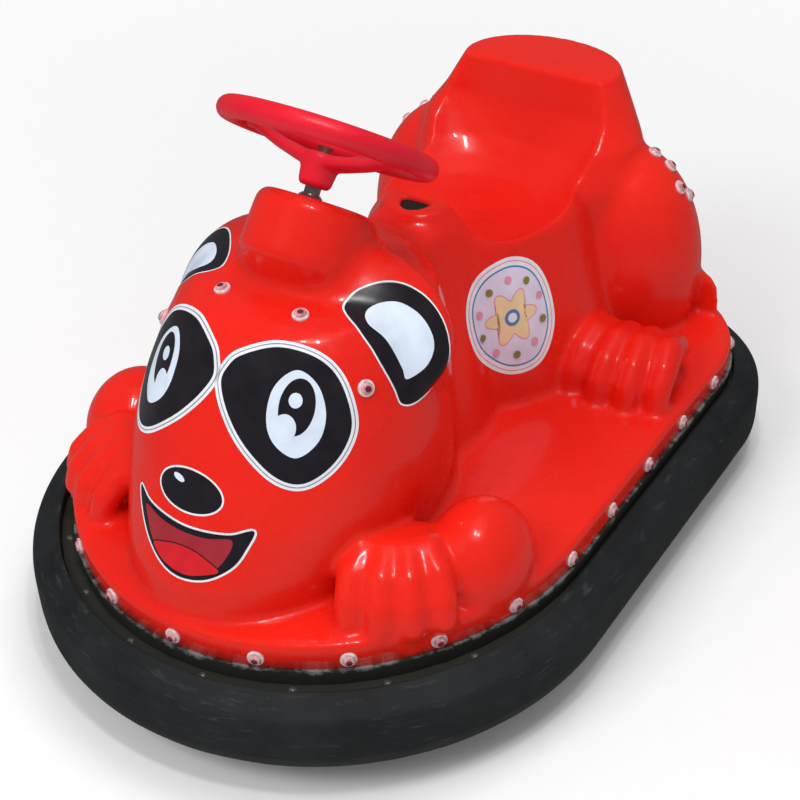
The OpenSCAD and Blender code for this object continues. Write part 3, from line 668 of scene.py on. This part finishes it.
corners = ((42, 57), (28, 53), (14, 51.2), (5, 54), (0.2, 65), (0.2, 92), (0.2, 121), (4.5, 131), (20, 139),
           (38, 148.8), (41.8, 145), (42, 100))
section = chaikin([Vector(p) for p in corners], 2)
bm = bmesh.new()
loops = []
for p in section:
    loops.append([])
    for x, y in bumper_line(p.x):
        wobble = noise.noise(Vector((x, y, p.y)) * 0.012)
        reach = 1 - 0.0014 * max(0.0, wobble) if p.x < 30 else 1
        loops[-1].append(bm.verts.new((x * reach * 0.001, y * reach * 0.001, (p.y + 0.5 * wobble) * 0.001)))
for one, two in zip(loops, loops[1:] + loops[:1]):
    for i in range(len(one)):
        bm.faces.new((one[i - 1], one[i], two[i], two[i - 1])).smooth = True
bmesh.ops.remove_doubles(bm, verts=bm.verts, dist=1e-6)
bmesh.ops.recalc_face_normals(bm, faces=bm.faces)
rubber = built("bumper_rubber", bm)
mat, node = shader("scuffed_rubber")
place = node("TexCoord").outputs["Object"]
height = node("SeparateXYZ", {"Vector": place}).outputs["Z"]
patches = node("TexNoise", {"Vector": place, "Scale": 7.0, "Detail": 8.0, "Roughness": 0.65})
streaks = node("Mapping", {"Vector": place, "Scale": (1.0, 1.0, 9.0)})
rubs = node("TexNoise", {"Vector": streaks.outputs["Vector"], "Scale": 22.0, "Detail": 7.0, "Roughness": 0.7})
base = ramp(node, patches.outputs["Fac"], (0.3, (0.008, 0.010, 0.011)), (0.72, (0.020, 0.024, 0.025)))
worn = ramp(node, rubs.outputs["Fac"], (0.57, (0, 0, 0)), (0.82, (0.55, 0.55, 0.55)))
colour = node("Mix", {"Factor": worn, "A": base, "B": (0.10, 0.115, 0.115, 1)}, data_type="RGBA")
foot = node("MapRange", {"Value": height, "From Min": 0.05, "From Max": 0.075, "To Min": 0.5, "To Max": 0.0})
dusty = node("Mix", {"Factor": foot.outputs["Result"], "A": colour.outputs["Result"],
                     "B": (0.07, 0.065, 0.06, 1)}, data_type="RGBA")
pores = node("TexNoise", {"Vector": place, "Scale": 420.0, "Detail": 3.0})
lift = node("Bump", {"Height": pores.outputs["Fac"], "Strength": 0.25, "Distance": 0.001})
scar = node("Bump", {"Height": rubs.outputs["Fac"], "Strength": 0.3, "Distance": 0.003,
                     "Normal": lift.outputs["Normal"]})
node("Principled", {"Base Color": dusty.outputs["Result"], "Roughness": 0.62, "Normal": scar.outputs["Normal"],
                    "Specular IOR Level": 0.35})
rubber.data.materials.append(mat)
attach(rubber, "root")
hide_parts("bumper_tyre")


# ---- steel band and its screws --------------------------------------------------------------
# A welded steel band carries the rubber; its lip stands under the skirt's edge, painted dark
# and knocked bare along the rim. Round-headed screws sit in the groove behind the rubber.
mat, node = shader("band_paint")
place = node("TexCoord").outputs["Object"]
height = node("SeparateXYZ", {"Vector": place}).outputs["Z"]
chips = node("TexNoise", {"Vector": place, "Scale": 30.0, "Detail": 8.0, "Roughness": 0.75})
near_rim = node("MapRange", {"Value": height, "From Min": 0.148, "From Max": 0.157, "To Min": -0.16,
                             "To Max": 0.05})
bare = node("Math", {0: chips.outputs["Fac"], 1: near_rim.outputs["Result"]}, operation="ADD")
worn = ramp(node, bare.outputs["Value"], (0.5, (0.035, 0.036, 0.028)), (0.62, (0.30, 0.31, 0.31)))
rough = node("MapRange", {"Value": bare.outputs["Value"], "From Min": 0.45, "From Max": 0.65, "To Min": 0.62,
                          "To Max": 0.4})
lift = node("Bump", {"Height": bare.outputs["Value"], "Strength": 0.3, "Distance": 0.001})
node("Principled", {"Base Color": worn, "Roughness": rough.outputs["Result"], "Metallic": 0.3,
                    "Normal": lift.outputs["Normal"]})
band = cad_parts["bumper_band"]
for slot in band.material_slots:
    slot.material = mat


def walk(line, count, offset, first=20):
    """Places at equal steps round a closed line from its nose, with the outward direction at each."""
    line = [Vector(p) for p in line]
    reach = [0.0]
    for a, b in zip(line, line[1:] + line[:1]):
        reach.append(reach[-1] + (b - a).length)
    found = []
    for k in range(count):
        s = (reach[first] + (k + offset) * reach[-1] / count) % reach[-1]
        i = max(j for j in range(len(line)) if reach[j] <= s)
        a, b = line[i], line[(i + 1) % len(line)]
        along = (b - a).normalized()
        found.append((a + along * (s - reach[i]), Vector((along.y, -along.x))))
    return found


lamp_count = 27
groove, groove_z, last_y, head_r, washer_r = -12, 135.4, -300, 4.6, 5.4
bm = bmesh.new()
for at, out in walk(plan(groove), lamp_count, 0.5):
    if at.y > last_y:
        continue
    lie = Matrix.Translation((at.x, at.y, groove_z)) @ Matrix.Rotation(at.x, 4, "Z")
    bmesh.ops.create_uvsphere(bm, u_segments=20, v_segments=12, radius=head_r,
                              matrix=lie @ Matrix.Diagonal((1, 1, 0.62, 1)))
    bmesh.ops.create_cone(bm, cap_ends=True, segments=20, radius1=washer_r, radius2=washer_r, depth=1.0,
                          matrix=lie)
for face in bm.faces:
    face.smooth = True
bmesh.ops.transform(bm, matrix=to_metres, verts=bm.verts)
screws = built("groove_screws", bm)
mat, node = shader("dull_zinc")
place = node("TexCoord").outputs["Object"]
spots = node("TexNoise", {"Vector": place, "Scale": 300.0, "Detail": 4.0})
tone = ramp(node, spots.outputs["Fac"], (0.35, (0.12, 0.12, 0.12)), (0.7, (0.32, 0.32, 0.32)))
node("Principled", {"Base Color": tone, "Roughness": 0.4, "Metallic": 0.7})
screws.data.materials.append(mat)
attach(screws, "root")


# ---- lamps ------------------------------------------------------------------------------------
# Small round lamps pushed into the gelcoat: a pearly flange, a pale dome and a dark magenta
# lens in the middle. 27 go round the skirt, four sit on the head and eight on the haunches.
mats = []
for name, low, high, rough in (("lamp_pearl", (0.62, 0.42, 0.45), (0.82, 0.68, 0.70), 0.3),
                               ("lamp_dome", (0.50, 0.20, 0.22), (0.74, 0.42, 0.42), 0.18),
                               ("lamp_magenta", (0.09, 0.012, 0.03), (0.20, 0.02, 0.05), 0.15)):
    mat, node = shader(name)
    place = node("TexCoord").outputs["Object"]
    cloud = node("TexNoise", {"Vector": place, "Scale": 180.0, "Detail": 3.0})
    tone = ramp(node, cloud.outputs["Fac"], (0.35, low), (0.65, high))
    node("Principled", {"Base Color": tone, "Roughness": rough, "Coat Weight": 0.4})
    mats.append(mat)


def add_lamp(bm, lie):
    """One lamp on its base at the origin of lie, facing along its Z, with +X up the wall."""
    profile = [(10.5, -0.8), (10.5, 1.6), (9.9, 2.6), (8.8, 3.0), (7.8, 2.8), (7.3, 3.4), (6.9, 4.8),
               (5.9, 6.0), (4.6, 6.7), (4.0, 6.6), (3.6, 6.9), (2.4, 7.3), (1.0, 7.45)]
    flange_in, dome_in, lens_off, tip_z = 7.5, 4.2, 0.9, 7.4
    edge = [bm.verts.new((r, 0, z)) for r, z in profile]
    chain = [bm.edges.new(pair) for pair in zip(edge, edge[1:])]
    bmesh.ops.spin(bm, geom=edge + chain, cent=(0, 0, 0), axis=(0, 0, 1), angle=math.tau, steps=24,
                   use_merge=True)
    fresh = [v for v in bm.verts if not v.tag]
    tip = [e for v in fresh for e in v.link_edges if len(e.link_faces) == 1 and v.co.z > tip_z]
    bmesh.ops.edgenet_fill(bm, edges=list(set(tip)))
    for v in fresh:
        v.tag = True
    for face in {f for v in fresh for f in v.link_faces}:
        middle = face.calc_center_median()
        r = math.hypot(middle.x, middle.y)
        face.material_index = 0 if r > flange_in else 1 if r > dome_in else 2
        face.smooth = True
    for v in fresh:
        if math.hypot(v.co.x, v.co.y) < 4.8:
            v.co.x -= lens_off
    bmesh.ops.transform(bm, matrix=lie, verts=fresh)


def facing(at, out):
    """A matrix at a point with Z along out and X as near upright as it goes."""
    out = Vector(out).normalized()
    side = out.cross(Vector((0, 0, 1))).normalized()
    up = side.cross(out)
    return Matrix.Translation(at) @ Matrix((up, -side, out)).transposed().to_4x4()


lamp_z, lamp_phase = 172, 0.09
skirt_places = [facing((at.x, at.y, lamp_z), (out.x, out.y, 0))
                for at, out in walk(plan(0), lamp_count, lamp_phase)]
head_places = []
for x, y, z, lean, turn in ((58, -290, 515, 11, -48), (152, -298, 449, 62, -28)):
    lean, turn = math.radians(lean), math.radians(turn)
    for side in (1, -1):
        out = Vector((side * math.sin(lean) * math.cos(turn), math.sin(lean) * math.sin(turn),
                      math.cos(lean)))
        head_places.append(facing((side * x, y, z), out))
rump_places = []
for round_it, up in ((32, 70), (24, 58), (7, 47), (19, 39)):
    a, e = math.radians(round_it), math.radians(up)
    out = Vector((math.cos(a) * math.cos(e), math.sin(a) * math.cos(e), math.sin(e)))
    x, y, z = (middle + r * o for middle, r, o in zip(haunch_at, haunch_r, out))
    slope = [o / r for o, r in zip(out, haunch_r)]
    for side in (1, -1):
        rump_places.append(facing((side * x, y, z), (side * slope[0], slope[1], slope[2])))
for name, places in (("skirt_lamps", skirt_places), ("head_lamps", head_places),
                     ("rump_lamps", rump_places)):
    bm = bmesh.new()
    for lie in places:
        add_lamp(bm, lie)
    bmesh.ops.recalc_face_normals(bm, faces=bm.faces)
    bmesh.ops.transform(bm, matrix=to_metres, verts=bm.verts)
    piece = built(name + "_domes", bm)
    for mat in mats:
        piece.data.materials.append(mat)
    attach(piece, "root")
    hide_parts(name)


# ---- steering wheel -----------------------------------------------------------------------------
# One crimson plastic moulding: a round rim and three dished spokes that run out of the boss
# with soft fillets. It rides on the column.
rim_r, rim_thick = 124.5, 14.5
bm = bmesh.new()
bmesh.ops.create_circle(bm, cap_ends=False, radius=rim_thick, segments=32,
                        matrix=Matrix.Translation((rim_r, 0, 0)) @ Matrix.Rotation(math.pi / 2, 4, "X"))
bmesh.ops.spin(bm, geom=bm.verts[:] + bm.edges[:], cent=(0, 0, 0), axis=(0, 0, 1), angle=math.tau, steps=120,
               use_merge=True)
bmesh.ops.recalc_face_normals(bm, faces=bm.faces)
# Stations along a spoke = (distance out, height, half width, half thickness).
stations = ((6, -30, 22, 10), (32, -25, 22, 9), (64, -18, 17, 7.5), (97, -7, 16, 6.5), (120, 0, 22, 7.5))
parts = []
for turn in (0, 90, 180):
    lie = Matrix.Rotation(math.radians(turn), 4, "Z")
    for pair in zip(stations, stations[1:]):
        form = bmesh.new()
        for r, z, w, t in pair:
            for i in range(20):
                a = math.tau * i / 20
                form.verts.new(lie @ Vector((r, w * math.copysign(abs(math.cos(a)) ** 0.7, math.cos(a)),
                                             z + t * math.sin(a))))
        parts.append(wrap(form))
for r0, r1, z0, z1 in ((17, 20.5, -60, -56), (20.5, 24.5, -56, -26), (24.5, 22, -26, -18)):
    form = bmesh.new()
    bmesh.ops.create_cone(form, cap_ends=True, segments=48, radius1=r0, radius2=r1, depth=z1 - z0,
                          matrix=Matrix.Translation((0, 0, (z0 + z1) / 2)))
    parts.append(form)
wheel = settled(gather(bm, parts),
                ("REMESH", {"mode": "VOXEL", "voxel_size": 2.2}),
                ("SMOOTH", {"factor": 0.5, "iterations": 7}))
bm = bmesh.new()
bm.from_mesh(wheel)
bmesh.ops.transform(bm, matrix=to_metres @ column(0), verts=bm.verts)
bm.to_mesh(wheel)
bm.free()
for face in wheel.polygons:
    face.use_smooth = True
wheel.name = "wheel_moulding"
piece = linked("wheel_moulding", wheel)
mat, node = shader("crimson_plastic")
place = node("TexCoord").outputs["Object"]
cloud = node("TexNoise", {"Vector": place, "Scale": 14.0, "Detail": 5.0})
tone = ramp(node, cloud.outputs["Fac"], (0.35, (0.66, 0.006, 0.020)), (0.7, (0.82, 0.012, 0.034)))
fine = node("TexNoise", {"Vector": place, "Scale": 700.0, "Detail": 2.0})
lift = node("Bump", {"Height": fine.outputs["Fac"], "Strength": 0.12, "Distance": 0.0006})
node("Principled", {"Base Color": tone, "Roughness": 0.34, "Normal": lift.outputs["Normal"],
                    "Specular IOR Level": 0.4})
wheel.materials.append(mat)
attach(piece, "steering_column")
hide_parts("steering_wheel")


# ---- metal, frame and running gear ----------------------------------------------------------------
# What the drawing already gives as it is: bright shaft, stem and axles, painted frame and
# fork, the battery's case, hubs and solid tyres. Each gets the finish of its material.
def metal(name, low, high, rough, metallic, scale=90.0):
    mat, node = shader(name)
    place = node("TexCoord").outputs["Object"]
    spots = node("TexNoise", {"Vector": place, "Scale": scale, "Detail": 7.0, "Roughness": 0.7})
    tone = ramp(node, spots.outputs["Fac"], (0.38, low), (0.68, high))
    dull = node("MapRange", {"Value": spots.outputs["Fac"], "To Min": rough - 0.1, "To Max": rough + 0.15})
    lift = node("Bump", {"Height": spots.outputs["Fac"], "Strength": 0.15, "Distance": 0.001})
    node("Principled", {"Base Color": tone, "Roughness": dull.outputs["Result"], "Metallic": metallic,
                        "Normal": lift.outputs["Normal"]})
    return mat


bright = metal("bright_steel", (0.34, 0.34, 0.35), (0.56, 0.56, 0.58), 0.3, 1.0)
frame_black = metal("frame_paint", (0.022, 0.022, 0.025), (0.06, 0.055, 0.05), 0.45, 0.0, 40.0)
case_black = metal("battery_case", (0.020, 0.020, 0.022), (0.036, 0.036, 0.038), 0.5, 0.0, 60.0)
alloy = metal("motor_alloy", (0.38, 0.38, 0.40), (0.60, 0.61, 0.62), 0.42, 0.9)
nylon = metal("hub_nylon", (0.50, 0.50, 0.47), (0.66, 0.65, 0.62), 0.5, 0.0)
tread = metal("tyre_rubber", (0.012, 0.012, 0.012), (0.035, 0.033, 0.03), 0.7, 0.0, 55.0)
for mat, names in (
        (bright, ("steering_shaft", "front_axle", "rear_axle", "fork_stem")),
        (frame_black, ("frame_tubes", "floor_tray", "fork_bearing", "fork_yoke", "rear_axle_brackets",
                       "steering_gearbox", "column_jacket")),
        (case_black, ("battery_block",)), (alloy, ("front_hub_motor",)),
        (nylon, ("rear_hub_left", "rear_hub_right")),
        (tread, ("front_tyre", "rear_tyre_left", "rear_tyre_right"))):
    for name in names:
        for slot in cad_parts[name].material_slots:
            slot.material = mat


# ---- painted shade in the recess ------------------------------------------------------------------
# A dull near-black block in the half-moon recess ahead of the seat: painted shade that stands in for
# the dark of a deep hole. Its floor stands a few millimetres under the gelcoat.
bm = half_moon((22.6, 29.6, 472), (22.6, 29.6, 482), (21.8, 28.8, 483))
bmesh.ops.transform(bm, matrix=to_metres, verts=bm.verts)
shade_plug = built("recess_painted_shade", bm)
# Painted shade: the near-black colour stands for the shadow inside a deep hole, not for a rubber part.
shade_plug.data.materials.append(metal("painted_shade_black", (0.008, 0.008, 0.008), (0.016, 0.014, 0.014), 0.6, 0.0, 120.0))
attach(shade_plug, "root")
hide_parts("seat_recess_cup")


# ---- bush on the pillar ---------------------------------------------------------------------------
# A turned steel bush with a thin flange, let into the pillar's cap; the shaft runs through it.
bm = bmesh.new()
profile = [(10.8, -14), (12.6, -14), (12.6, -0.5), (14.4, -0.2), (14.8, 0.4), (14.8, 2.6), (14.2, 3.2),
           (12.7, 3.4), (12.3, 5.0), (11.9, 5.4), (10.8, 5.4)]
ring = [bm.verts.new((r, 0, z)) for r, z in profile]
chain = [bm.edges.new((a, b)) for a, b in zip(ring, ring[1:] + ring[:1])]
bmesh.ops.spin(bm, geom=ring + chain, cent=(0, 0, 0), axis=(0, 0, 1), angle=math.tau, steps=48,
               use_merge=True)
bmesh.ops.recalc_face_normals(bm, faces=bm.faces)
bmesh.ops.transform(bm, matrix=to_metres @ column(cap_drop), verts=bm.verts)
bush = built("shaft_bush", bm)
bush.data.materials.append(bright)
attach(bush, "root")
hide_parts("pillar_collar")
